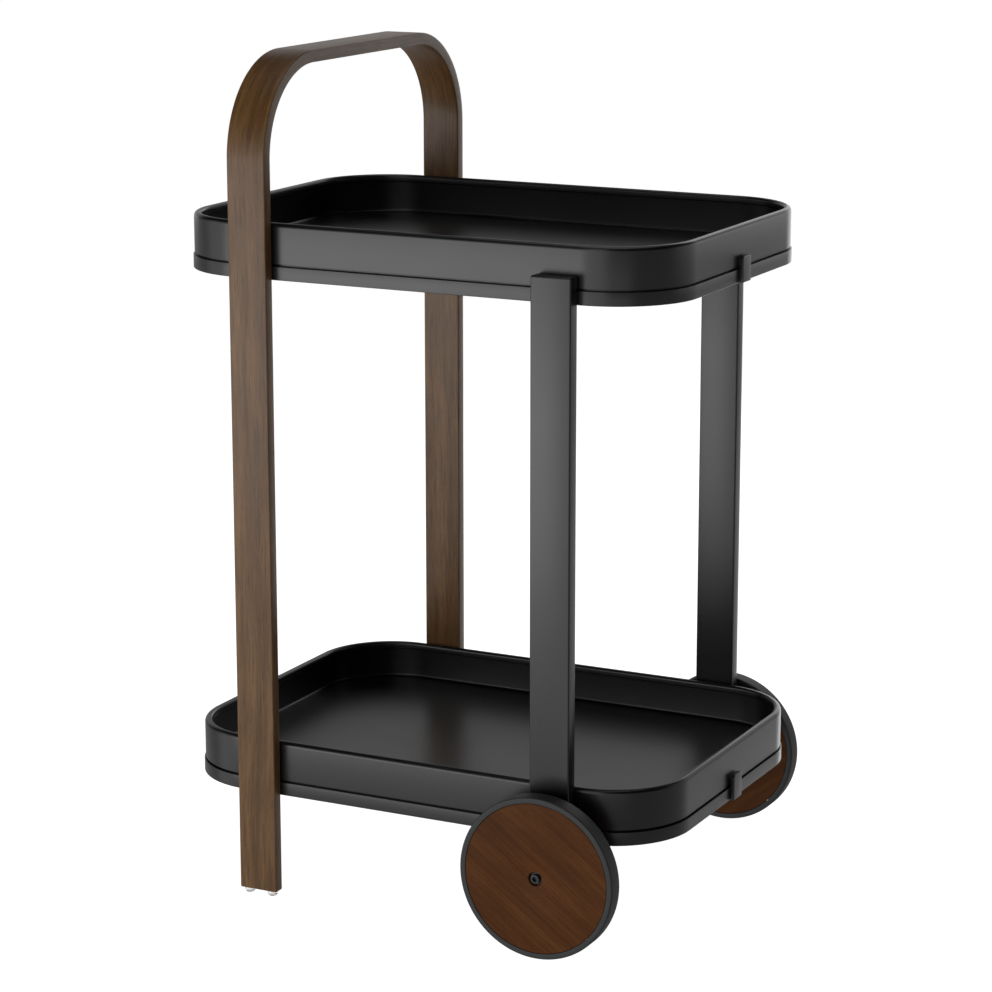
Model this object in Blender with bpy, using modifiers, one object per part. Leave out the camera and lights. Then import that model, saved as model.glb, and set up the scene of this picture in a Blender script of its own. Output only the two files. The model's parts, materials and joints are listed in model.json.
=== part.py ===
"""Bar cart on two wheels: two lift-off trays in a bentwood and steel frame.

Metres, +Z up. The origin is on the floor under the middle of the trays. +X is the wheel end,
-X the handle end, +Y the left side. Left and right pieces mirror each other across Y = 0.
"""
import math

import bmesh
import bpy
from mathutils import Matrix, Vector

# Driving dimensions
FIT = 0.0003                    # gap left between pieces that touch

RING_HALF_LENGTH = 0.2640
RING_HALF_WIDTH = 0.1927
RING_CORNER = 0.0822
RING_HEIGHT = 0.0131
RING_WALL = 0.0025
LEDGE_INSET = 0.0145            # inner edge of the ledge, from the ring's outside
LEDGE_THICKNESS = 0.0020
LEDGE_DROP = 0.0007             # ledge below the ring's top
UPPER_RING_BOTTOM = 0.6186
LOWER_RING_BOTTOM = 0.1044

TRAY_RISE = 0.0544              # tray rim above the ring's bottom
TRAY_SETBACK = 0.0012           # tray wall behind the ring's outside
TRAY_WALL = 0.0022
TRAY_STEP = 0.0031              # the part of the tray that drops inside the ring
TRAY_FLOOR = 0.0020
SHADOW_GAP = 0.0020
RIM_WIDTH = 0.0075
RIM_DEPTH = 0.0075
RIM_ROUND = 0.0036
COVE = 0.0040

HANDLE_TOP = 0.8300
HANDLE_BEND = 0.0985            # outer radius of the bend
WOOD_THICKNESS = 0.0122
WOOD_WIDTH = 0.0411
WOOD_X = -0.1602
WOOD_BOTTOM = 0.0060
WOOD_EDGE = 0.0012

LEG_THICKNESS = 0.0146
LEG_WIDTH = 0.0410
LEG_X = 0.1606
LEG_TOP = 0.6453
LEG_BOTTOM = 0.0560
LEG_WALL = 0.0020
LEG_EDGE = 0.0016
PLUG_FLANGE = 0.0022
PLUG_DEPTH = 0.0110

WHEEL_RADIUS = 0.0793
WHEEL_X = 0.1606
WHEEL_INNER = 0.2186            # distance of the wheel's inner face from the middle plane
WHEEL_OUTER = 0.2364
TREAD = 0.0060
TREAD_CHAMFER = 0.0014
DISC_RECESS = 0.0003            # the disc's faces sit this far inside the tyre's
COUNTERBORE_RADIUS = 0.0070
COUNTERBORE_DEPTH = 0.0042
BUSH_RADIUS = 0.0050
AXLE_RADIUS = 0.0030
AXLE_HEAD_RADIUS = 0.0045
AXLE_HEAD_HEIGHT = 0.0036
AXLE_SOCKET_RADIUS = 0.0023
WASHER_RADIUS = 0.0060
WASHER_THICKNESS = 0.0007
SPACER_RADIUS = 0.0070
NUT_RADIUS = 0.0058
NUT_HEIGHT = 0.0050

SCREW_RADIUS = 0.0020
SCREW_HEAD_RADIUS = 0.0035
SCREW_HEAD_HEIGHT = 0.0022
SCREW_LENGTH = 0.0118
CLIP_SCREW_LENGTH = 0.0056
SCREW_HEIGHT = 0.0050           # screw axis above the ring's bottom
SCREW_SPACING = 0.0200

CLIP_WIDTH = 0.0198
CLIP_HEIGHT = 0.0255
CLIP_THICKNESS = 0.0038
CLIP_ROUND = 0.0030
CLIP_EDGE = 0.0008

FOOT_RADIUS = 0.0052
FOOT_SPACING = 0.0260

CORNER_STEPS = 8
BEND_STEPS = 14
WHEEL_STEPS = 48
HUB_STEPS = 16

# Values that follow
LEG_INNER = RING_HALF_WIDTH + FIT
WOOD_OUTER = LEG_INNER + WOOD_THICKNESS
LEG_OUTER = LEG_INNER + LEG_THICKNESS
WHEEL_HEIGHT = WHEEL_RADIUS
LEVELS = {"upper": UPPER_RING_BOTTOM, "lower": LOWER_RING_BOTTOM}
SIDES = {"left": 1, "right": -1}
ENDS = {"front": 1, "rear": -1}


def clear_scene():
    for obj in list(bpy.data.objects):
        bpy.data.objects.remove(obj, do_unlink=True)


def new_collection(name):
    collection = bpy.data.collections.new(name)
    bpy.context.scene.collection.children.link(collection)
    return collection


def new_material(name, color, roughness, metallic=0.0, transmission=0.0):
    material = bpy.data.materials.new(name)
    material.use_nodes = True
    shader = material.node_tree.nodes["Principled BSDF"]
    shader.inputs["Base Color"].default_value = (*color, 1.0)
    shader.inputs["Roughness"].default_value = roughness
    shader.inputs["Metallic"].default_value = metallic
    shader.inputs["Transmission Weight"].default_value = transmission
    material.diffuse_color = (*color, 1.0)
    return material


clear_scene()
PARTS = new_collection("bar_cart")
CUTTERS = new_collection("cutters")
WALNUT = new_material("walnut", (0.16, 0.085, 0.045), 0.45)
BLACK_PAINT = new_material("black_paint", (0.012, 0.012, 0.012), 0.38)
BLACK_STEEL = new_material("black_steel", (0.03, 0.03, 0.03), 0.35, metallic=0.8)
ZINC = new_material("zinc_plate", (0.55, 0.55, 0.56), 0.3, metallic=1.0)
TYRE_RUBBER = new_material("tyre_rubber", (0.01, 0.01, 0.01), 0.6)
NYLON = new_material("nylon", (0.05, 0.05, 0.05), 0.5)
CLEAR_PAD = new_material("clear_pad", (0.85, 0.85, 0.83), 0.2, transmission=0.5)


# Building blocks
def quarter_arc(center, radius, quarter, steps):
    """A quarter circle, anticlockwise; quarter 0 starts at +X, quarter 1 at +Y, and so on."""
    angles = [math.radians(90) * (quarter + step / steps) for step in range(steps + 1)]
    return [(center[0] + radius * math.cos(a), center[1] + radius * math.sin(a)) for a in angles]


def rounded_rectangle(half_x, half_y, radius):
    """The outline of a rectangle with round corners, anticlockwise."""
    points = []
    for quarter, (sx, sy) in enumerate(((1, 1), (-1, 1), (-1, -1), (1, -1))):
        center = (sx * (half_x - radius), sy * (half_y - radius))
        points += quarter_arc(center, radius, quarter, CORNER_STEPS)
    return points


def plan_outline(inset):
    """The plan of ring and tray, moved in from the ring's outside."""
    return rounded_rectangle(RING_HALF_LENGTH - inset, RING_HALF_WIDTH - inset, RING_CORNER - inset)


def box_outline(half_x, half_y):
    return [(half_x, half_y), (-half_x, half_y), (-half_x, -half_y), (half_x, -half_y)]


def place(obj, material, collection=PARTS):
    """Links the object and gives it its material; cutters become guides."""
    collection.objects.link(obj)
    if material:
        obj.data.materials.clear()
        obj.data.materials.append(material)
    if collection is CUTTERS:
        obj.hide_render = True
        obj.display_type = "WIRE"
    bpy.context.view_layer.update()
    return obj


def flat_solid(name, outline, thickness, material=None, collection=PARTS, base=0.0):
    """A flat outline in XY, filled and extruded from z = base upwards."""
    curve = bpy.data.curves.new(name + "_outline", "CURVE")
    curve.dimensions = "2D"
    curve.fill_mode = "BOTH"
    curve.extrude = thickness / 2
    spline = curve.splines.new("POLY")
    spline.points.add(len(outline) - 1)
    for point, (x, y) in zip(spline.points, outline):
        point.co = (x, y, 0.0, 1.0)
    spline.use_cyclic_u = True
    guide = bpy.data.objects.new(name + "_guide", curve)
    CUTTERS.objects.link(guide)
    bpy.context.view_layer.update()
    mesh = bpy.data.meshes.new_from_object(guide.evaluated_get(bpy.context.evaluated_depsgraph_get()))
    bpy.data.objects.remove(guide, do_unlink=True)
    bpy.data.curves.remove(curve)
    mesh.name = name
    shape = bmesh.new()
    shape.from_mesh(mesh)
    bmesh.ops.remove_doubles(shape, verts=shape.verts, dist=0.00001)
    bmesh.ops.dissolve_limit(shape, angle_limit=math.radians(0.5), verts=shape.verts, edges=shape.edges)
    bmesh.ops.translate(shape, verts=shape.verts, vec=(0, 0, base + thickness / 2))
    bmesh.ops.recalc_face_normals(shape, faces=shape.faces)
    shape.to_mesh(mesh)
    shape.free()
    return place(bpy.data.objects.new(name, mesh), material, collection)


def round_edges(obj, chosen, width, segments):
    """Rounds the edges for which chosen(edge) is true."""
    shape = bmesh.new()
    shape.from_mesh(obj.data)
    shape.normal_update()
    edges = [edge for edge in shape.edges if edge.calc_face_angle(0) > math.radians(40) and chosen(edge)]
    bmesh.ops.bevel(shape, geom=edges, offset=width, offset_type="OFFSET", segments=segments,
                    profile=0.5, affect="EDGES", clamp_overlap=True)
    shape.to_mesh(obj.data)
    shape.free()


def is_level(edge, height):
    return all(abs(vertex.co.z - height) < 0.00002 for vertex in edge.verts)


def combine(target, other, operation):
    """Adds an exact Boolean; the other object ends as a guide."""
    modifier = target.modifiers.new(operation.lower(), "BOOLEAN")
    modifier.operation = operation
    modifier.solver = "EXACT"
    modifier.object = other


def bake(obj):
    """Replaces the object's mesh by its evaluated mesh, with flat faces merged."""
    bpy.context.view_layer.update()
    mesh = bpy.data.meshes.new_from_object(obj.evaluated_get(bpy.context.evaluated_depsgraph_get()))
    obj.modifiers.clear()
    obj.data = mesh
    shape = bmesh.new()
    shape.from_mesh(mesh)
    bmesh.ops.dissolve_limit(shape, angle_limit=math.radians(0.5), verts=shape.verts, edges=shape.edges)
    shape.to_mesh(mesh)
    shape.free()


def smooth(obj, degrees=35):
    obj.data.shade_smooth()
    obj.data.set_sharp_from_angle(angle=math.radians(degrees))


def outward(side):
    """Turns local +Z to the outside of the cart, along +Y or -Y."""
    return (math.radians(-90 * side), 0.0, 0.0)


def turned(name, profile, material, steps, location=(0, 0, 0), rotation=(0, 0, 0), closed=True):
    """A profile of (radius, height) turned about local Z."""
    mesh = bpy.data.meshes.new(name)
    count = len(profile)
    edges = [(i, (i + 1) % count) for i in range(count if closed else count - 1)]
    mesh.from_pydata([(radius, 0.0, height) for radius, height in profile], edges, [])
    obj = bpy.data.objects.new(name, mesh)
    place(obj, material)
    screw = obj.modifiers.new("turn", "SCREW")
    screw.steps = steps
    screw.render_steps = steps
    screw.use_merge_vertices = True
    screw.merge_threshold = 0.00001
    screw.use_smooth_shade = True
    bake(obj)
    smooth(obj)
    obj.location = location
    obj.rotation_euler = rotation
    return obj


def tube(name, outer, inner, low, high, material, steps, location, rotation):
    """A plain ring or sleeve between two heights on its own axis."""
    profile = [(outer, high), (outer, low), (inner, low), (inner, high)]
    return turned(name, profile, material, steps, location, rotation)


def round_cutter(name, radius, start, direction, length, steps=12):
    """A cylinder from start along direction."""
    mesh = bpy.data.meshes.new(name)
    shape = bmesh.new()
    bmesh.ops.create_cone(shape, cap_ends=True, segments=steps, radius1=radius, radius2=radius,
                          depth=length, matrix=Matrix.Translation((0, 0, length / 2)))
    shape.to_mesh(mesh)
    shape.free()
    cutter = bpy.data.objects.new(name, mesh)
    cutter.location = start
    cutter.rotation_euler = Vector(direction).to_track_quat("Z", "Y").to_euler()
    return place(cutter, None, CUTTERS)


# Rings, trays and end clips
def make_ring(level, bottom):
    """An L-section ring: an upright band with a ledge that the tray rests on."""
    ring = flat_solid(level + "_ring", plan_outline(0), RING_HEIGHT, BLACK_PAINT)
    ledge_top = RING_HEIGHT - LEDGE_DROP
    hollows = (("above", RING_WALL, ledge_top, 2 * RING_HEIGHT),
               ("below", RING_WALL, -RING_HEIGHT, ledge_top - LEDGE_THICKNESS),
               ("middle", LEDGE_INSET, -RING_HEIGHT, 2 * RING_HEIGHT))
    for label, inset, low, high in hollows:
        cutter = flat_solid(f"{level}_ring_{label}", plan_outline(inset), high - low,
                            collection=CUTTERS, base=low)
        cutter.location.z = bottom
        combine(ring, cutter, "DIFFERENCE")
    ring.location.z = bottom
    return ring


def make_tray(level, bottom):
    """A shell with a rolled rim; its base drops inside the ring and rests on the ledge."""
    rim = TRAY_RISE
    wall_bottom = RING_HEIGHT + SHADOW_GAP
    base = RING_HEIGHT - LEDGE_DROP + FIT
    floor = base + TRAY_FLOOR
    tray = flat_solid(level + "_tray", plan_outline(TRAY_SETBACK), rim - wall_bottom, BLACK_PAINT,
                      base=wall_bottom)
    foot = flat_solid(level + "_tray_base", plan_outline(TRAY_STEP), wall_bottom - base + COVE / 2,
                      collection=CUTTERS, base=base)
    cavity = flat_solid(level + "_tray_cavity", plan_outline(TRAY_SETBACK + TRAY_WALL),
                        rim - RIM_DEPTH - floor, collection=CUTTERS, base=floor)
    round_edges(cavity, lambda edge: is_level(edge, floor), COVE, 3)
    mouth = flat_solid(level + "_tray_mouth", plan_outline(TRAY_SETBACK + RIM_WIDTH), rim,
                       collection=CUTTERS, base=rim - RIM_DEPTH - COVE)
    combine(tray, foot, "UNION")
    combine(tray, cavity, "DIFFERENCE")
    combine(tray, mouth, "DIFFERENCE")
    bake(tray)
    round_edges(tray, lambda edge: is_level(edge, rim), RIM_ROUND, 3)
    smooth(tray)
    tray.location.z = bottom
    return tray


def make_end_clip(level, end, bottom):
    """A small upright stop on the ring's end, which keeps the tray from sliding along."""
    side, shoulder = CLIP_WIDTH / 2 - CLIP_ROUND, CLIP_HEIGHT - CLIP_ROUND
    outline = [(CLIP_WIDTH / 2, 0.0), *quarter_arc((side, shoulder), CLIP_ROUND, 0, 4),
               *quarter_arc((-side, shoulder), CLIP_ROUND, 1, 4), (-CLIP_WIDTH / 2, 0.0)]
    clip = flat_solid(f"{level}_end_clip_{end}", outline, CLIP_THICKNESS, BLACK_PAINT)
    round_edges(clip, lambda edge: is_level(edge, CLIP_THICKNESS), CLIP_EDGE, 2)
    clip.rotation_euler = (math.radians(90), 0, math.radians(90 * ENDS[end]))
    clip.location = (ENDS[end] * (RING_HALF_LENGTH + FIT), 0, bottom)
    smooth(clip)
    return clip


# Frame uprights
def make_bentwood_frame():
    """One bent strip that is both legs and the handle."""
    def arch(inset):
        side, crown = WOOD_OUTER - HANDLE_BEND, HANDLE_TOP - HANDLE_BEND
        return (quarter_arc((side, crown), HANDLE_BEND - inset, 0, BEND_STEPS)
                + quarter_arc((-side, crown), HANDLE_BEND - inset, 1, BEND_STEPS))

    outer = [(WOOD_OUTER, WOOD_BOTTOM), *arch(0), (-WOOD_OUTER, WOOD_BOTTOM)]
    inner = [(LEG_INNER, WOOD_BOTTOM), *arch(WOOD_THICKNESS), (-LEG_INNER, WOOD_BOTTOM)]
    frame = flat_solid("bentwood_frame", outer + inner[::-1], WOOD_WIDTH, WALNUT, base=-WOOD_WIDTH / 2)
    round_edges(frame, lambda edge: True, WOOD_EDGE, 2)
    frame.rotation_euler = (math.radians(90), 0, math.radians(90))
    frame.location.x = WOOD_X
    return frame


def make_metal_leg(name, side):
    """A flat tube, closed at the top and open at the bottom for its plug."""
    height = LEG_TOP - LEG_BOTTOM - PLUG_FLANGE - FIT
    start = LEG_BOTTOM + PLUG_FLANGE + FIT
    leg = flat_solid("metal_leg_" + name, box_outline(LEG_WIDTH / 2, LEG_THICKNESS / 2), height, BLACK_PAINT)
    round_edges(leg, lambda edge: not is_level(edge, 0.0), LEG_EDGE, 2)
    middle = (LEG_X, side * (LEG_INNER + LEG_THICKNESS / 2), start)
    hollow = flat_solid("metal_leg_hollow_" + name,
                        box_outline(LEG_WIDTH / 2 - LEG_WALL, LEG_THICKNESS / 2 - LEG_WALL),
                        height + LEG_WALL, collection=CUTTERS, base=-2 * LEG_WALL)
    leg.location = middle
    hollow.location = middle
    combine(leg, hollow, "DIFFERENCE")
    return leg


def make_leg_plug(name, side):
    """The push-in plug that closes the leg's lower end."""
    plug = flat_solid("leg_plug_" + name, box_outline(LEG_WIDTH / 2, LEG_THICKNESS / 2), PLUG_FLANGE, NYLON)
    round_edges(plug, lambda edge: not is_level(edge, PLUG_FLANGE), LEG_EDGE / 2, 2)
    inset = LEG_WALL + FIT
    stem = flat_solid("leg_plug_stem_" + name,
                      box_outline(LEG_WIDTH / 2 - inset, LEG_THICKNESS / 2 - inset),
                      PLUG_DEPTH, collection=CUTTERS, base=PLUG_FLANGE / 2)
    plug.location = (LEG_X, side * (LEG_INNER + LEG_THICKNESS / 2), LEG_BOTTOM)
    stem.location = plug.location
    combine(plug, stem, "UNION")
    return plug


# Wheels and axles
def make_wheel(name, side, leg):
    """Disc, tyre and bush turn together; bolt, washer, spacer and nut stay with the leg."""
    hub = (WHEEL_X, 0.0, WHEEL_HEIGHT)
    turn = outward(side)
    rim = WHEEL_RADIUS - TREAD
    seat = WHEEL_OUTER - COUNTERBORE_DEPTH
    low, high = WHEEL_INNER + DISC_RECESS, WHEEL_OUTER - DISC_RECESS
    bore = BUSH_RADIUS + FIT
    turned("wheel_disc_" + name,
           [(rim, high), (rim, low), (bore, low), (bore, seat),
            (COUNTERBORE_RADIUS, seat), (COUNTERBORE_RADIUS, high)],
           WALNUT, WHEEL_STEPS, hub, turn)
    chamfer = TREAD_CHAMFER
    turned("tyre_" + name,
           [(WHEEL_RADIUS - chamfer, WHEEL_OUTER), (WHEEL_RADIUS, WHEEL_OUTER - chamfer),
            (WHEEL_RADIUS, WHEEL_INNER + chamfer), (WHEEL_RADIUS - chamfer, WHEEL_INNER),
            (rim + FIT, WHEEL_INNER), (rim + FIT, WHEEL_OUTER)],
           TYRE_RUBBER, WHEEL_STEPS, hub, turn)
    shaft = AXLE_RADIUS + FIT
    tube("hub_bush_" + name, BUSH_RADIUS, shaft, WHEEL_INNER, seat - FIT, NYLON, HUB_STEPS, hub, turn)
    tube("axle_washer_" + name, WASHER_RADIUS, shaft, seat + FIT, seat + FIT + WASHER_THICKNESS,
         BLACK_STEEL, HUB_STEPS, hub, turn)
    tube("axle_spacer_" + name, SPACER_RADIUS, shaft, LEG_OUTER + FIT, WHEEL_INNER - FIT,
         BLACK_STEEL, HUB_STEPS, hub, turn)

    head = seat + WASHER_THICKNESS + 2 * FIT
    tip = LEG_INNER - NUT_HEIGHT - 3 * FIT
    top = head + AXLE_HEAD_HEIGHT
    bolt = turned("axle_bolt_" + name,
                  [(0, top), (AXLE_HEAD_RADIUS - 2 * FIT, top), (AXLE_HEAD_RADIUS, top - 2 * FIT),
                   (AXLE_HEAD_RADIUS, head), (AXLE_RADIUS, head), (AXLE_RADIUS, tip), (0, tip)],
                  BLACK_STEEL, HUB_STEPS, hub, turn, closed=False)
    socket = round_cutter("axle_socket_" + name, AXLE_SOCKET_RADIUS,
                          (WHEEL_X, side * (top - 0.0018), WHEEL_HEIGHT), (0, side, 0), 0.005, steps=6)
    combine(bolt, socket, "DIFFERENCE")

    nut = turned("axle_nut_" + name,
                 [(NUT_RADIUS, LEG_INNER - FIT), (NUT_RADIUS, LEG_INNER - FIT - NUT_HEIGHT),
                  (shaft, LEG_INNER - FIT - NUT_HEIGHT), (shaft, LEG_INNER - FIT)],
                 ZINC, 6, hub, turn)
    nut_bore = round_cutter("axle_nut_bore_" + name, shaft, (WHEEL_X, side * (LEG_INNER - 0.01), WHEEL_HEIGHT),
                            (0, side, 0), 0.02, steps=HUB_STEPS)
    combine(nut, nut_bore, "DIFFERENCE")
    leg_bore = round_cutter("leg_bore_" + name, shaft, (WHEEL_X, side * (LEG_INNER - 0.001), WHEEL_HEIGHT),
                            (0, side, 0), LEG_THICKNESS + 0.002, steps=HUB_STEPS)
    combine(leg, leg_bore, "DIFFERENCE")


# Screws
def screw_mesh(name, length):
    """A pan-head screw: head top along +Z, underside of the head at z = 0."""
    edge = SCREW_HEAD_HEIGHT / 2
    profile = [(0, SCREW_HEAD_HEIGHT), (SCREW_HEAD_RADIUS - edge, SCREW_HEAD_HEIGHT),
               (SCREW_HEAD_RADIUS, SCREW_HEAD_HEIGHT - edge), (SCREW_HEAD_RADIUS, 0), (SCREW_RADIUS, 0),
               (SCREW_RADIUS, -length + SCREW_RADIUS), (0, -length)]
    screw = turned(name, profile, ZINC, 12, closed=False)
    socket = round_cutter(name + "_socket", SCREW_RADIUS * 0.7, (0, 0, SCREW_HEAD_HEIGHT * 0.45),
                          (0, 0, 1), SCREW_HEAD_HEIGHT, steps=6)
    combine(screw, socket, "DIFFERENCE")
    bake(screw)
    mesh = screw.data
    bpy.data.objects.remove(screw, do_unlink=True)
    return mesh


def drive_screw(name, mesh, start, inward, depth, targets):
    """Puts a screw with its head inside the ring, and drills its hole through the targets."""
    screw = bpy.data.objects.new(name, mesh)
    PARTS.objects.link(screw)
    direction = Vector(inward)
    screw.location = Vector(start) + direction * FIT
    screw.rotation_euler = direction.to_track_quat("Z", "Y").to_euler()
    hole = round_cutter(name + "_hole", SCREW_RADIUS + FIT, Vector(start) + direction * RING_WALL,
                        -direction, RING_WALL + depth + FIT)
    for target in targets:
        combine(target, hole, "DIFFERENCE")


def make_screws(rings, clips, wood, legs):
    long_screw = screw_mesh("frame_screw", SCREW_LENGTH)
    short_screw = screw_mesh("clip_screw", CLIP_SCREW_LENGTH)
    for level, bottom in LEVELS.items():
        height = bottom + SCREW_HEIGHT
        for side_name, side in SIDES.items():
            for label, x, upright in (("wood", WOOD_X, wood), ("leg", LEG_X, legs[side_name])):
                for number, offset in ((1, -SCREW_SPACING / 2), (2, SCREW_SPACING / 2)):
                    start = (x + offset, side * (RING_HALF_WIDTH - RING_WALL), height)
                    drive_screw(f"{level}_{label}_screw_{side_name}_{number}", long_screw, start,
                                (0, -side, 0), SCREW_LENGTH, (rings[level], upright))
        for end_name, end in ENDS.items():
            start = (end * (RING_HALF_LENGTH - RING_WALL), 0, height)
            drive_screw(f"{level}_clip_screw_{end_name}", short_screw, start, (-end, 0, 0),
                        CLIP_SCREW_LENGTH, (rings[level], clips[level, end_name]))


def make_feet():
    """Two soft bumpers under each wooden leg."""
    top = WOOD_BOTTOM - FIT
    profile = [(0, top), (FOOT_RADIUS, top), (FOOT_RADIUS, top * 0.62), (FOOT_RADIUS * 0.87, top * 0.28),
               (FOOT_RADIUS * 0.68, top * 0.08), (FOOT_RADIUS * 0.45, 0), (0, 0)]
    for side_name, side in SIDES.items():
        for number, offset in ((1, -FOOT_SPACING / 2), (2, FOOT_SPACING / 2)):
            turned(f"foot_pad_{side_name}_{number}", profile, CLEAR_PAD, 16,
                   location=(WOOD_X + offset, side * (LEG_INNER + WOOD_THICKNESS / 2), 0), closed=False)


def make_cart():
    rings = {level: make_ring(level, bottom) for level, bottom in LEVELS.items()}
    for level, bottom in LEVELS.items():
        make_tray(level, bottom)
    clips = {(level, end): make_end_clip(level, end, bottom)
             for level, bottom in LEVELS.items() for end in ENDS}
    wood = make_bentwood_frame()
    legs = {name: make_metal_leg(name, side) for name, side in SIDES.items()}
    for name, side in SIDES.items():
        make_leg_plug(name, side)
        make_wheel(name, side, legs[name])
    make_screws(rings, clips, wood, legs)
    make_feet()


make_cart()
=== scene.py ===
import json
import math

import bmesh
import bpy
from mathutils import Matrix, Vector


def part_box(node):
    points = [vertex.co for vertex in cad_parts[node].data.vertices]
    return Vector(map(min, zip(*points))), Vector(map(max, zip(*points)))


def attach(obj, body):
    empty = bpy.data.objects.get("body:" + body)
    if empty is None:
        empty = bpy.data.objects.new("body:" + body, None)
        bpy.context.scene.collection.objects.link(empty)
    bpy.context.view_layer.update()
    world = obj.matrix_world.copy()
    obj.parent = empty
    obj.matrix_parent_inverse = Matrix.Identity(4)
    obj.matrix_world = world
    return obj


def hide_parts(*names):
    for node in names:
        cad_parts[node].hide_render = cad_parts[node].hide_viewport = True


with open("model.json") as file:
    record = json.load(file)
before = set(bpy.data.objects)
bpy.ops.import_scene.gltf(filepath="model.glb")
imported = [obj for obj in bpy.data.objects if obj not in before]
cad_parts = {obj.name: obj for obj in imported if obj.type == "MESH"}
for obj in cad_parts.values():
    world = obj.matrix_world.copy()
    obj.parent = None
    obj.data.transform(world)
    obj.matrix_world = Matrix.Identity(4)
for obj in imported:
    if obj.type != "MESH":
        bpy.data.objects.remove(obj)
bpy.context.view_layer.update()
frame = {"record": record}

# Dimensions of the design that a node's box doesn't give, in metres
RING_CORNER = 0.0822
RING_WALL = 0.0025
LEDGE_INSET = 0.0145
LEDGE_THICKNESS = 0.0020
LEDGE_DROP = 0.0007
TRAY_WALL = 0.0022
TRAY_FLOOR = 0.0020
SHADOW_GAP = 0.0020
GROOVE_DEPTH = 0.0024
RIM_WIDTH = 0.0075
RIM_DEPTH = 0.0075
RIM_OUTER_ROUND = 0.0042
RIM_INNER_ROUND = 0.0030
COVE = 0.0028
HANDLE_BEND = 0.0985
WOOD_THICKNESS = 0.0122
WOOD_EDGE = 0.0013
LEG_EDGE = 0.0016
CLIP_ROUND = 0.0030
CLIP_EDGE = 0.0009
COUNTERBORE_RADIUS = 0.0070
COUNTERBORE_DEPTH = 0.0042
SOCKET_RADIUS = 0.0026
SOCKET_DEPTH = 0.0030
AXLE_RADIUS = 0.0030
AXLE_BORE = 0.0033
CLEARANCE = 0.0003
SCREW_HEAD_HEIGHT = 0.0022
SCREW_HEAD_ROUND = 0.0011
SCREW_SHANK_RADIUS = 0.0020
SCREW_SOCKET_RADIUS = 0.0014
SCREW_SOCKET_DEPTH = 0.0012
DISC_GRAIN_ANGLE = 36

CORNER_STEPS = 32
BEND_STEPS = 64
ROUND_STEPS = 128
FILLET_STEPS = 5
BOLT_STEPS = 96
RING_STEPS = 64
SCREW_STEPS = 48

BODY_OF = {node: body for body, nodes in frame["record"]["behaviour"]["bodies"].items() for node in nodes}
JOINTS = {joint["name"]: joint for joint in frame["record"]["behaviour"]["joints"]}
SIDES = {"left": 1, "right": -1}
LEVELS = ("upper", "lower")


# Shape helpers
def quarter(center, radius, start, sweep, steps):
    """Points on an arc, from the angle start through sweep, in degrees."""
    angles = [math.radians(start + sweep * step / steps) for step in range(steps + 1)]
    return [(center[0] + radius * math.cos(a), center[1] + radius * math.sin(a)) for a in angles]


def rounded(corners, steps=FILLET_STEPS, closed=False):
    """A path through (a, b, radius) corners, with an arc at each corner that has a radius."""
    path = []
    count = len(corners)
    for index, (a, b, radius) in enumerate(corners):
        corner = Vector((a, b))
        inner = closed or 0 < index < count - 1
        if radius <= 0 or not inner:
            path.append((a, b))
            continue
        before = (Vector(corners[index - 1][:2]) - corner).normalized()
        after = (Vector(corners[(index + 1) % count][:2]) - corner).normalized()
        angle = before.angle(after)
        reach = radius / math.tan(angle / 2)
        center = corner + (before + after).normalized() * (radius / math.sin(angle / 2))
        first, last = corner + before * reach - center, corner + after * reach - center
        sweep = first.angle_signed(last)
        for step in range(steps + 1):
            point = center + Matrix.Rotation(-sweep * step / steps, 2) @ first
            path.append((point.x, point.y))
    return path


def rounded_rectangle(half_x, half_y, radius, steps):
    """The outline of a rectangle with round corners, anticlockwise."""
    points = []
    for index, (sx, sy) in enumerate(((1, 1), (-1, 1), (-1, -1), (1, -1))):
        center = (sx * (half_x - radius), sy * (half_y - radius))
        points += quarter(center, radius, 90 * index, 90, steps)
    return points


def loft(shape, loops, caps=True, closed=False):
    """Quads from loop to loop; caps close the first and last loop, closed joins them instead."""
    rows = [[shape.verts.new(point) for point in loop] for loop in loops]
    pairs = list(zip(rows, rows[1:])) + ([(rows[-1], rows[0])] if closed else [])
    for low, high in pairs:
        for index in range(len(low)):
            after = (index + 1) % len(low)
            shape.faces.new((low[index], low[after], high[after], high[index]))
    if caps and not closed:
        shape.faces.new(list(reversed(rows[0])))
        shape.faces.new(rows[-1])


def stack(shape, profile, half_x, half_y, radius, steps=CORNER_STEPS, **ends):
    """Rounded rectangles, one for each (inset, height) of the profile."""
    loops = []
    for inset, height in profile:
        outline = rounded_rectangle(half_x - inset, half_y - inset, max(radius - inset, 0.0002), steps)
        loops.append([(x, y, height) for x, y in outline])
    loft(shape, loops, **ends)


def lathe(shape, profile, steps=ROUND_STEPS, **ends):
    """Circles about local Z, one for each (radius, height) of the profile."""
    turns = [2 * math.pi * step / steps for step in range(steps)]
    loft(shape, [[(r * math.cos(a), r * math.sin(a), h) for a in turns] for r, h in profile], **ends)


def hexagon(radius, height, steps):
    """A hexagon with as many points as a circle of that many steps."""
    points = []
    for step in range(steps):
        angle = 2 * math.pi * step / steps
        flat = (angle % math.radians(60)) - math.radians(30)
        reach = radius * math.cos(math.radians(30)) / math.cos(flat)
        points.append((reach * math.cos(angle), reach * math.sin(angle), height))
    return points


def size_of(node):
    low, high = (Vector(corner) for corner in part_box(node))
    return low, high, (low + high) / 2, high - low


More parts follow.
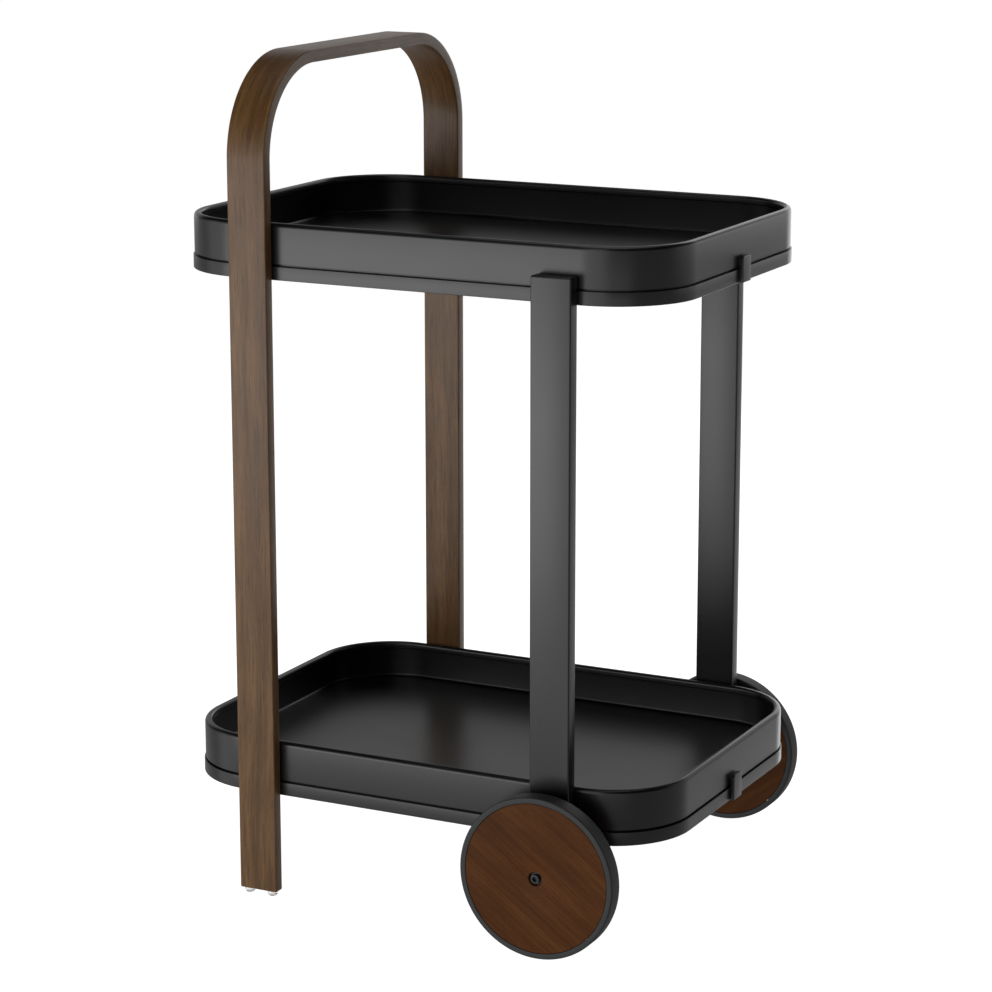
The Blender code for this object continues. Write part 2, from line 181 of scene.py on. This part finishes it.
def add_piece(node, build, material, location=(0, 0, 0), rotation=(0, 0, 0), sharp=38, grain=None):
    """Builds the mesh that stands for a node, and sends it with that node's body."""
    mesh = bpy.data.meshes.new(node + "_mesh")
    shape = bmesh.new()
    build(shape)
    bmesh.ops.recalc_face_normals(shape, faces=shape.faces)
    shape.to_mesh(mesh)
    shape.free()
    mesh.materials.append(material)
    mesh.shade_smooth()
    mesh.set_sharp_from_angle(angle=math.radians(sharp))
    if grain:
        layer = mesh.attributes.new("grain", "FLOAT_VECTOR", "POINT")
        for index, vertex in enumerate(mesh.vertices):
            layer.data[index].vector = grain(index, vertex.co)
    piece = bpy.data.objects.new(node + "_visual", mesh)
    bpy.context.scene.collection.objects.link(piece)
    piece.location = location
    piece.rotation_euler = rotation
    bpy.context.view_layer.update()
    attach(piece, BODY_OF[node])
    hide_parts(node)
    return piece


# Material helpers
class Nodes:
    """A short way to write a material's node tree."""

    def __init__(self, name):
        self.material = bpy.data.materials.new(name)
        self.material.use_nodes = True
        self.tree = self.material.node_tree
        self.shader = self.tree.nodes["Principled BSDF"]

    def add(self, kind, inputs=None, **settings):
        node = self.tree.nodes.new(kind)
        for key, value in settings.items():
            setattr(node, key, value)
        for key, value in (inputs or {}).items():
            self.feed(node.inputs[key], value)
        return node

    def feed(self, socket, value):
        if isinstance(value, bpy.types.NodeSocket):
            self.tree.links.new(value, socket)
        else:
            socket.default_value = value

    def set(self, **values):
        for key, value in values.items():
            self.feed(self.shader.inputs[key.replace("_", " ")], value)

    def scaled(self, vector, scale):
        return self.add("ShaderNodeMapping", {"Vector": vector, "Scale": scale}).outputs["Vector"]

    def noise(self, vector, scale, detail=3.0, roughness=0.5, distortion=0.0):
        inputs = {"Vector": vector, "Scale": scale, "Detail": detail, "Roughness": roughness,
                  "Distortion": distortion}
        return self.add("ShaderNodeTexNoise", inputs).outputs["Fac"]

    def ramp(self, value, stops):
        node = self.add("ShaderNodeValToRGB", {"Fac": value})
        ramp = node.color_ramp
        while len(ramp.elements) < len(stops):
            ramp.elements.new(0.5)
        for element, (position, color) in zip(ramp.elements, stops):
            element.position = position
            element.color = color if len(color) == 4 else (*color, 1.0)
        return node.outputs["Color"]

    def span(self, value, low, high):
        """Maps 0..1 to low..high."""
        inputs = {"Value": value, "To Min": low, "To Max": high}
        return self.add("ShaderNodeMapRange", inputs).outputs["Result"]

    def mix(self, factor, first, second, blend="MIX"):
        node = self.add("ShaderNodeMix", data_type="RGBA", blend_type=blend)
        self.feed(node.inputs["Factor"], factor)
        self.feed(node.inputs["A"], first)
        self.feed(node.inputs["B"], second)
        return node.outputs["Result"]

    def bump(self, height, distance, strength=1.0, normal=None):
        inputs = {"Height": height, "Distance": distance, "Strength": strength}
        if normal:
            inputs["Normal"] = normal
        return self.add("ShaderNodeBump", inputs).outputs["Normal"]


def color(r, g, b):
    return (r, g, b, 1.0)


def satin_paint(name, base, roughness):
    """Powder coat: a very fine orange peel, with a slight change of gloss over a hand's width."""
    nodes = Nodes(name)
    place = nodes.add("ShaderNodeTexCoord").outputs["Object"]
    cloud = nodes.noise(place, 9.0, detail=2.0)
    peel = nodes.noise(place, 900.0, detail=2.0)
    grit = nodes.noise(place, 4200.0, detail=1.0)
    shade = nodes.mix(cloud, color(*(0.85 * c for c in base)), color(*(1.15 * c for c in base)))
    nodes.set(Base_Color=shade, Roughness=nodes.span(cloud, roughness - 0.03, roughness + 0.03))
    fine = nodes.bump(grit, 0.000006, 0.6)
    nodes.set(Normal=nodes.bump(peel, 0.00002, 0.5, fine))
    return nodes.material


def walnut(name, dark, middle, light, roughness, fleck_length, lines, ior):
    """Walnut veneer. The grain attribute runs (along, across, through) the veneer, in metres."""
    nodes = Nodes(name)
    grain = nodes.add("ShaderNodeAttribute", attribute_name="grain").outputs["Vector"]
    drift = nodes.noise(nodes.scaled(grain, (3.0, 9.0, 9.0)), 1.0, detail=2.0)
    shift = nodes.add("ShaderNodeCombineXYZ", {"Y": nodes.span(drift, -0.012, 0.012)}).outputs["Vector"]
    wavy = nodes.add("ShaderNodeVectorMath", {0: grain, 1: shift}, operation="ADD").outputs["Vector"]
    figure = nodes.noise(nodes.scaled(wavy, (3.5, 95.0, 60.0)), 1.0, detail=5.0, roughness=0.62)
    blotch = nodes.noise(nodes.scaled(wavy, (13.0, 36.0, 36.0)), 1.0, detail=3.0, roughness=0.55)
    fleck_scale = (1.0 / fleck_length, 520.0, 300.0)
    fleck = nodes.noise(nodes.scaled(wavy, fleck_scale), 1.0, detail=3.0, roughness=0.6)
    fibre = nodes.noise(nodes.scaled(wavy, (70.0, 2600.0, 2000.0)), 1.0, detail=2.0)
    pore = nodes.noise(nodes.scaled(wavy, (190.0, 2300.0, 2300.0)), 1.0, detail=1.0)
    broad = nodes.ramp(figure, ((0.32, dark), (0.50, middle), (0.68, light)))
    tint = nodes.ramp(blotch, ((0.34, (0.72, 0.68, 0.62)), (0.66, (1.28, 1.30, 1.34))))
    clouded = nodes.mix(0.55, broad, tint, "MULTIPLY")
    flecked = nodes.mix(nodes.span(nodes.ramp(fleck, ((0.36, (1, 1, 1)), (0.50, (0, 0, 0)))), 0.0, lines),
                        clouded, color(*(0.45 * c for c in dark[:3])))
    fine = nodes.mix(0.35, flecked, nodes.ramp(fibre, ((0.25, (0.55, 0.55, 0.55)), (0.75, (1.4, 1.4, 1.4)))),
                     "MULTIPLY")
    pits = nodes.ramp(pore, ((0.30, (1, 1, 1)), (0.38, (0, 0, 0))))
    nodes.set(Base_Color=nodes.mix(nodes.span(pits, 0.0, 0.5), fine, color(*(0.4 * c for c in dark[:3]))),
              Roughness=nodes.span(fibre, roughness - 0.05, roughness + 0.05))
    nodes.shader.inputs["IOR"].default_value = ior
    nodes.set(Normal=nodes.bump(pits, -0.00003, 0.6, nodes.bump(fibre, 0.00001, 0.5)))
    return nodes.material


def tyre_rubber():
    nodes = Nodes("tyre_rubber_visual")
    place = nodes.add("ShaderNodeTexCoord").outputs["Object"]
    cloud = nodes.noise(place, 35.0, detail=4.0)
    grit = nodes.noise(place, 2600.0, detail=2.0)
    nodes.set(Base_Color=nodes.mix(cloud, color(0.010, 0.011, 0.012), color(0.017, 0.018, 0.019)),
              Roughness=nodes.span(cloud, 0.52, 0.66), Normal=nodes.bump(grit, 0.00003, 0.7))
    return nodes.material


def steel(name, base, roughness, metallic):
    """Plated or blackened steel with fine turning marks."""
    nodes = Nodes(name)
    place = nodes.add("ShaderNodeTexCoord").outputs["Object"]
    marks = nodes.noise(nodes.scaled(place, (400.0, 400.0, 9000.0)), 1.0, detail=2.0)
    cloud = nodes.noise(place, 300.0, detail=2.0)
    nodes.set(Base_Color=nodes.mix(cloud, color(*(0.8 * c for c in base)), color(*base)),
              Roughness=nodes.span(cloud, roughness - 0.05, roughness + 0.07),
              Normal=nodes.bump(marks, 0.000008, 0.6))
    nodes.shader.inputs["Metallic"].default_value = metallic
    return nodes.material


def moulded_nylon():
    nodes = Nodes("nylon_visual")
    place = nodes.add("ShaderNodeTexCoord").outputs["Object"]
    grit = nodes.noise(place, 1800.0, detail=2.0)
    nodes.set(Base_Color=nodes.mix(grit, color(0.018, 0.018, 0.018), color(0.03, 0.03, 0.03)),
              Roughness=nodes.span(grit, 0.42, 0.55), Normal=nodes.bump(grit, 0.00002, 0.6))
    return nodes.material


def clear_silicone():
    nodes = Nodes("clear_silicone_visual")
    place = nodes.add("ShaderNodeTexCoord").outputs["Object"]
    haze = nodes.noise(place, 500.0, detail=2.0)
    nodes.set(Base_Color=nodes.mix(haze, color(0.96, 0.94, 0.94), color(0.99, 0.98, 0.98)),
              Roughness=nodes.span(haze, 0.18, 0.32), Normal=nodes.bump(haze, 0.00002, 0.4))
    nodes.shader.inputs["Transmission Weight"].default_value = 0.75
    nodes.shader.inputs["IOR"].default_value = 1.42
    return nodes.material


PAINT = satin_paint("satin_black_paint", (0.0030, 0.0030, 0.0031), 0.30)
WALNUT_STRIP = walnut("walnut_strip", color(0.090, 0.043, 0.014), color(0.130, 0.065, 0.023),
                      color(0.176, 0.092, 0.036), 0.34, fleck_length=0.035, lines=0.45, ior=1.36)
WALNUT_DISC = walnut("walnut_disc", color(0.064, 0.020, 0.005), color(0.084, 0.029, 0.007),
                     color(0.106, 0.040, 0.010), 0.48, fleck_length=0.150, lines=0.30, ior=1.16)
RUBBER = tyre_rubber()
BLACK_STEEL = steel("blackened_steel", (0.007, 0.008, 0.009), 0.50, 0.0)
ZINC = steel("zinc_plated_steel", (0.62, 0.62, 0.63), 0.30, 1.0)
NYLON = moulded_nylon()
SILICONE = clear_silicone()


# Rings, trays and end clips
def make_ring(level):
    node = level + "_ring"
    low, high, _, size = size_of(node)
    ledge = high.z - LEDGE_DROP
    section = rounded((
        (0, low.z, 0.0005), (0, high.z, 0.0003), (RING_WALL, high.z, 0.0004), (RING_WALL, ledge, 0),
        (LEDGE_INSET, ledge, 0.0006), (LEDGE_INSET, ledge - LEDGE_THICKNESS, 0.0006),
        (RING_WALL, ledge - LEDGE_THICKNESS, 0.0008), (RING_WALL, low.z, 0.0005)), closed=True)
    add_piece(node, lambda shape: stack(shape, section, size.x / 2, size.y / 2, RING_CORNER, closed=True),
              PAINT)


def make_tray(level):
    node = level + "_tray"
    low, high, _, size = size_of(node)
    _, ring_high, _, ring_size = size_of(level + "_ring")
    setback = (ring_size.x - size.x) / 2
    step = setback + GROOVE_DEPTH
    wall_bottom = ring_high.z + SHADOW_GAP
    floor = low.z + TRAY_FLOOR
    center = 0.060
    profile = rounded((
        (center, floor, 0), (setback + TRAY_WALL, floor, COVE),
        (setback + TRAY_WALL, high.z - RIM_DEPTH, 0.0006), (setback + RIM_WIDTH, high.z - RIM_DEPTH, 0.0011),
        (setback + RIM_WIDTH, high.z, RIM_INNER_ROUND), (setback, high.z, RIM_OUTER_ROUND),
        (setback, wall_bottom, 0.0003), (step, wall_bottom, 0.0003), (step, low.z, 0.0006),
        (center, low.z, 0)), steps=8)
    add_piece(node, lambda shape: stack(shape, profile, ring_size.x / 2, ring_size.y / 2, RING_CORNER), PAINT)


def make_end_clip(level, end):
    node = f"{level}_end_clip_{end}"
    low, high, _, size = size_of(node)
    outside = high.x if end == "front" else low.x
    inside = low.x if end == "front" else high.x
    toward = 1 if end == "front" else -1

    def outline(inset):
        y, top, bottom = size.y / 2 - inset, high.z - inset, low.z + inset
        turn = CLIP_ROUND - inset
        return rounded(((y, bottom, CLIP_EDGE), (y, top, turn), (-y, top, turn), (-y, bottom, CLIP_EDGE)),
                       steps=8, closed=True)

    def build(shape):
        levels = [(0.0, inside)] + [(CLIP_EDGE * (1 - math.cos(math.radians(angle))),
                                     outside - toward * CLIP_EDGE * (1 - math.sin(math.radians(angle))))
                                    for angle in (0, 18, 36, 54, 72, 90)]
        loft(shape, [[(x, y, z) for y, z in outline(inset)] for inset, x in levels])

    add_piece(node, build, PAINT)


# Frame uprights
def make_bentwood_frame():
    node = "bentwood_frame"
    low, high, middle, size = size_of(node)
    half = WOOD_THICKNESS / 2
    radius = HANDLE_BEND - half
    side, crown = high.y - HANDLE_BEND, high.z - HANDLE_BEND
    stations = []
    for inset, height in quarter((0, low.z + WOOD_EDGE), WOOD_EDGE, -90, 90, FILLET_STEPS):
        stations.append((side + radius, height, 0.0, height - low.z, WOOD_EDGE - inset))
    length = crown - low.z
    for step in range(BEND_STEPS + 1):
        angle = math.radians(90) * step / BEND_STEPS
        stations.append((side + radius * math.cos(angle), crown + radius * math.sin(angle), angle,
                         length + radius * angle, 0.0))
    half_length = length + radius * math.radians(90) + side
    mirrored = [(-y, z, math.pi - angle, 2 * half_length - along, inset)
                for y, z, angle, along, inset in reversed(stations)]
    stations += mirrored
    across = rounded_rectangle(size.x / 2, half, WOOD_EDGE, FILLET_STEPS)
    section = len(across)

    def build(shape):
        loops = []
        for y, z, angle, _, inset in stations:
            corner = max(WOOD_EDGE - inset, 0.0002)
            outline = rounded_rectangle(size.x / 2 - inset, half - inset, corner, FILLET_STEPS)
            outward, upward = math.cos(angle), math.sin(angle)
            loops.append([(middle.x + a, y + t * outward, z + t * upward) for a, t in outline])
        loft(shape, loops)

    def grain(index, _):
        along = stations[index // section][3]
        a, t = across[index % section]
        return (along, a, t)

    add_piece(node, build, WALNUT_STRIP, grain=grain)


def make_metal_leg(name):
    node = "metal_leg_" + name
    low, high, middle, size = size_of(node)
    profile = rounded(((0.004, low.z, 0), (0, low.z, 0.0004), (0, high.z, LEG_EDGE), (0.004, high.z, 0)))
    add_piece(node, lambda shape: stack(shape, [(inset, z - middle.z) for inset, z in profile],
                                        size.x / 2, size.y / 2, LEG_EDGE, steps=FILLET_STEPS),
              PAINT, location=middle)


def make_leg_plug(name):
    node = "leg_plug_" + name
    low, _, middle, size = size_of(node)
    flange, wall = 0.0022, 0.0023
    profile = rounded(((0.004, 0, 0), (0, 0, 0.0010), (0, flange, 0.0002), (wall, flange, 0),
                       (wall, size.z, 0.0008), (0.0045, size.z, 0)))
    add_piece(node, lambda shape: stack(shape, profile, size.x / 2, size.y / 2, LEG_EDGE, steps=FILLET_STEPS),
              NYLON, location=(middle.x, middle.y, low.z))


# Wheels and axles
def ring_profile(outer, inner, low, high, fillet):
    return rounded(((outer, low, fillet), (outer, high, fillet), (inner, high, fillet), (inner, low, fillet)),
                   closed=True)


def axle_place(name):
    """The hub's middle, and the turn that takes local +Z outwards."""
    hub = Vector(JOINTS[f"wheel_{name}_spin"]["pos_m"])
    return Vector((hub.x, 0.0, hub.z)), (math.radians(-90 * SIDES[name]), 0.0, 0.0)


def reach_of(node):
    """The node's nearest and farthest distance from the middle plane, and its radius."""
    low, high, _, size = size_of(node)
    near, far = sorted((abs(low.y), abs(high.y)))
    return near, far, size.x / 2


def make_wheel(name):
    hub, turn = axle_place(name)
    place = {"location": hub, "rotation": turn}

    low, high, radius = reach_of("wheel_disc_" + name)
    bore = reach_of("hub_bush_" + name)[2] + CLEARANCE
    seat = reach_of("tyre_" + name)[1] - COUNTERBORE_DEPTH
    disc = rounded(((radius, low, 0.0005), (radius, high, 0.0005), (COUNTERBORE_RADIUS, high, 0.0005),
                    (COUNTERBORE_RADIUS, seat, 0), (bore, seat, 0), (bore, low, 0.0003)), closed=True)
    along, across = math.cos(math.radians(DISC_GRAIN_ANGLE)), math.sin(math.radians(DISC_GRAIN_ANGLE))
    seed = 0.37 if name == "left" else 0.0

    def grain(_, point):
        return (point.x * along - point.y * across + seed, point.x * across + point.y * along, point.z + seed)

    add_piece("wheel_disc_" + name, lambda shape: lathe(shape, disc, closed=True), WALNUT_DISC,
              grain=grain, **place)

    low, high, outer = reach_of("tyre_" + name)
    shoulder, lip = 0.0016, 0.0005
    tyre = rounded(((outer, low, shoulder), (outer, high, shoulder), (radius + CLEARANCE, high, lip),
                    (radius + CLEARANCE, low, lip)), steps=8, closed=True)
    add_piece("tyre_" + name, lambda shape: lathe(shape, tyre, closed=True), RUBBER, **place)

    rings = (("hub_bush", NYLON, 0.0003), ("axle_washer", BLACK_STEEL, 0.0002),
             ("axle_spacer", BLACK_STEEL, 0.0006))
    for label, material, fillet in rings:
        low, high, outer = reach_of(f"{label}_{name}")
        ring = ring_profile(outer, AXLE_BORE, low, high, fillet)
        add_piece(f"{label}_{name}", lambda shape, ring=ring: lathe(shape, ring, RING_STEPS, closed=True),
                  material, **place)


def socket_head(shape, head_radius, head_low, head_high, shank_radius, tip, socket, depth, round_top, steps):
    """A screw or bolt: shank, head with a rounded top edge, and a hexagon socket."""
    profile = rounded(((shank_radius - 0.0008, tip, 0), (shank_radius, tip + 0.0008, 0),
                       (shank_radius, head_low, 0), (head_radius, head_low, 0.0003),
                       (head_radius, head_high, round_top), (socket * 1.25, head_high, 0)))
    turns = [2 * math.pi * step / steps for step in range(steps)]
    loops = [[(r * math.cos(a), r * math.sin(a), h) for a in turns] for r, h in profile]
    loops.append(hexagon(socket * 1.06, head_high, steps))
    loops.append(hexagon(socket, head_high - 0.0002, steps))
    loops.append(hexagon(socket, head_high - depth, steps))
    loft(shape, loops)


def make_axle(name):
    hub, turn = axle_place(name)
    low, high, head_radius = reach_of("axle_bolt_" + name)
    head_low = reach_of("axle_washer_" + name)[1] + CLEARANCE
    add_piece("axle_bolt_" + name,
              lambda shape: socket_head(shape, head_radius, head_low, high, AXLE_RADIUS, low,
                                        SOCKET_RADIUS, SOCKET_DEPTH, 0.0006, BOLT_STEPS),
              BLACK_STEEL, location=hub, rotation=turn)
    low, high, _ = reach_of("axle_nut_" + name)
    corner = size_of("axle_nut_" + name)[3].x / 2
    chamfer = 0.0005

    def build(shape):
        sizes = ((corner - chamfer, low), (corner, low + chamfer),
                 (corner, high - chamfer), (corner - chamfer, high))
        loops = [hexagon(radius, height, BOLT_STEPS) for radius, height in sizes]
        turns = [2 * math.pi * step / BOLT_STEPS for step in range(BOLT_STEPS)]
        bore = [[(AXLE_BORE * math.cos(a), AXLE_BORE * math.sin(a), height) for a in turns]
                for height in (high, low)]
        loft(shape, loops + bore, closed=True)

    add_piece("axle_nut_" + name, build, ZINC, location=hub, rotation=turn)


# Screws and feet
def make_screw(node):
    """The head is at the node's end nearest the middle of the cart."""
    low, high, middle, size = size_of(node)
    axis = 0 if node.split("_")[1] == "clip" else 1
    toward = -1 if middle[axis] > 0 else 1
    direction = Vector((0, 0, 0))
    direction[axis] = toward
    start = Vector(middle)
    start[axis] = high[axis] if toward > 0 else low[axis]
    length = size[axis]

    def build(shape):
        socket_head(shape, size.z / 2, -SCREW_HEAD_HEIGHT, 0.0, SCREW_SHANK_RADIUS, -length,
                    SCREW_SOCKET_RADIUS, SCREW_SOCKET_DEPTH, SCREW_HEAD_ROUND, SCREW_STEPS)

    add_piece(node, build, ZINC, location=start, rotation=direction.to_track_quat("Z", "Y").to_euler())


def make_foot_pad(node):
    low, _, middle, size = size_of(node)
    radius, top = size.x / 2, size.z
    dome = [(radius * math.cos(math.radians(a)), top * 0.55 * (1 - math.sin(math.radians(a))))
            for a in range(0, 70, 5)]
    dome.append((radius * 0.2, 0.0))
    profile = [(radius * 0.5, top), (radius - 0.0004, top), (radius, top - 0.0004), *dome]
    add_piece(node, lambda shape: lathe(shape, profile[::-1], RING_STEPS), SILICONE,
              location=(middle.x, middle.y, low.z))


for level_name in LEVELS:
    make_ring(level_name)
    make_tray(level_name)
    for end_name in ("front", "rear"):
        make_end_clip(level_name, end_name)
make_bentwood_frame()
for side_name in SIDES:
    make_metal_leg(side_name)
    make_leg_plug(side_name)
    make_wheel(side_name)
    make_axle(side_name)
for part in frame["record"]["subparts"]:
    if "_screw" in part["node"]:
        make_screw(part["node"])
    if part["node"].startswith("foot_pad"):
        make_foot_pad(part["node"])


# Stage, lights and camera
def make_floor():
    nodes = Nodes("pale_floor")
    place = nodes.add("ShaderNodeTexCoord").outputs["Object"]
    cloud = nodes.noise(place, 2.0, detail=3.0)
    shade = nodes.mix(cloud, color(0.40, 0.40, 0.40), color(0.43, 0.43, 0.43))
    nodes.set(Base_Color=shade, Roughness=0.8)
    nodes.shader.inputs["Emission Color"].default_value = color(1.0, 1.0, 1.0)
    nodes.shader.inputs["Emission Strength"].default_value = FLOOR_GLOW
    below = nodes.add("ShaderNodeNewGeometry").outputs["Backfacing"]
    nodes.set(Alpha=nodes.span(below, 1.0, 0.0))
    mesh = bpy.data.meshes.new("floor_mesh")
    shape = bmesh.new()
    bmesh.ops.create_grid(shape, x_segments=1, y_segments=1, size=60.0)
    shape.to_mesh(mesh)
    shape.free()
    mesh.materials.append(nodes.material)
    floor = bpy.data.objects.new("studio_floor", mesh)
    bpy.context.scene.collection.objects.link(floor)
    floor.location.z = -0.0005
    floor.visible_glossy = False
    floor.visible_diffuse = False
    floor.visible_shadow = False


def softbox(name, azimuth, low, high, radiance):
    """An upright, even light that faces the cart's axis; radiance 1 looks as bright as white."""
    width = 2 * LIGHT_DISTANCE * math.tan(math.radians(SOFTBOX_ANGLE / 2))
    turn = math.radians(azimuth)
    center = Vector((LIGHT_DISTANCE * math.cos(turn), LIGHT_DISTANCE * math.sin(turn), (low + high) / 2))
    return area_light(name, center, Vector((0, 0, center.z)), width, high - low, radiance)


def area_light(name, center, target, width, height, radiance):
    light = bpy.data.lights.new(name, "AREA")
    light.shape = "RECTANGLE"
    light.size = width
    light.size_y = height
    light.energy = radiance * math.pi * width * height
    lamp = bpy.data.objects.new(name, light)
    bpy.context.scene.collection.objects.link(lamp)
    lamp.location = center
    lamp.rotation_euler = (target - center).to_track_quat("-Z", "Y").to_euler()
    lamp.visible_camera = False
    return lamp


def make_world():
    """A white surround to look at, which lights the cart only from below the horizon."""
    world = bpy.data.worlds.new("studio")
    world.use_nodes = True
    bpy.context.scene.world = world
    tree = world.node_tree
    background = tree.nodes["Background"]
    background.inputs["Color"].default_value = color(1.0, 1.0, 1.0)
    split = tree.nodes.new("ShaderNodeSeparateXYZ")
    tree.links.new(tree.nodes.new("ShaderNodeTexCoord").outputs["Generated"], split.inputs["Vector"])
    fade = tree.nodes.new("ShaderNodeMapRange")
    fade.inputs["From Min"].default_value = 0.04
    fade.inputs["From Max"].default_value = 0.14
    fade.inputs["To Min"].default_value = GROUND_GLOW
    fade.inputs["To Max"].default_value = SKY_GLOW
    tree.links.new(split.outputs["Z"], fade.inputs["Value"])
    seen = tree.nodes.new("ShaderNodeMath")
    seen.operation = "MAXIMUM"
    tree.links.new(tree.nodes.new("ShaderNodeLightPath").outputs["Is Camera Ray"], seen.inputs[0])
    tree.links.new(fade.outputs["Result"], seen.inputs[1])
    tree.links.new(seen.outputs["Value"], background.inputs["Strength"])


LIGHT_DISTANCE = 2.4
SOFTBOX_ANGLE = 30
FLOOR_GLOW = 1.0
GROUND_GLOW = 0.36
SKY_GLOW = 0.01
make_floor()
softbox("key_softbox", -120, -0.28, 0.65, 3.8)
softbox("key_surround", -120, -1.1, 1.4, 0.7)
softbox("front_softbox", -90, -1.1, 2.8, 1.2)
softbox("left_softbox", -150, -1.1, 0.4, 0.8)
softbox("right_softbox", -60, -0.28, 0.4, 0.7)
softbox("rear_softbox", 90, -0.9, 2.8, 1.4)
softbox("rear_low_softbox", 90, -0.9, 0.4, 1.1)
softbox("rear_right_softbox", 60, 0.4, 1.4, 0.8)
softbox("right_low_softbox", 60, -0.9, 0.05, 0.25)
softbox("side_fill_left", -150, 0.4, 1.6, 0.8)
softbox("side_fill_rear", 150, 0.4, 1.6, 0.6)
softbox("side_fill_right", 30, 0.4, 1.6, 0.5)
softbox("rear_left_softbox", 120, 0.4, 2.8, 0.45)
area_light("overhead_softbox", Vector((0, 0, 2.9)), Vector((0, 0, 0)), 2.0, 2.0, 1.1)
make_world()
bpy.context.scene.view_settings.view_transform = "Standard"

camera_data = bpy.data.cameras.new("camera")
camera = bpy.data.objects.new("camera", camera_data)
bpy.context.scene.collection.objects.link(camera)
bpy.context.scene.camera = camera
camera_data.lens = 114.27
camera_data.shift_x = -0.0060
camera_data.shift_y = -0.0003
camera_data.clip_end = 200.0
camera.location = (1.3775, -2.7489, 1.0979)
camera.rotation_euler = (math.radians(90 - 13.10), 0.0, math.radians(26.476))
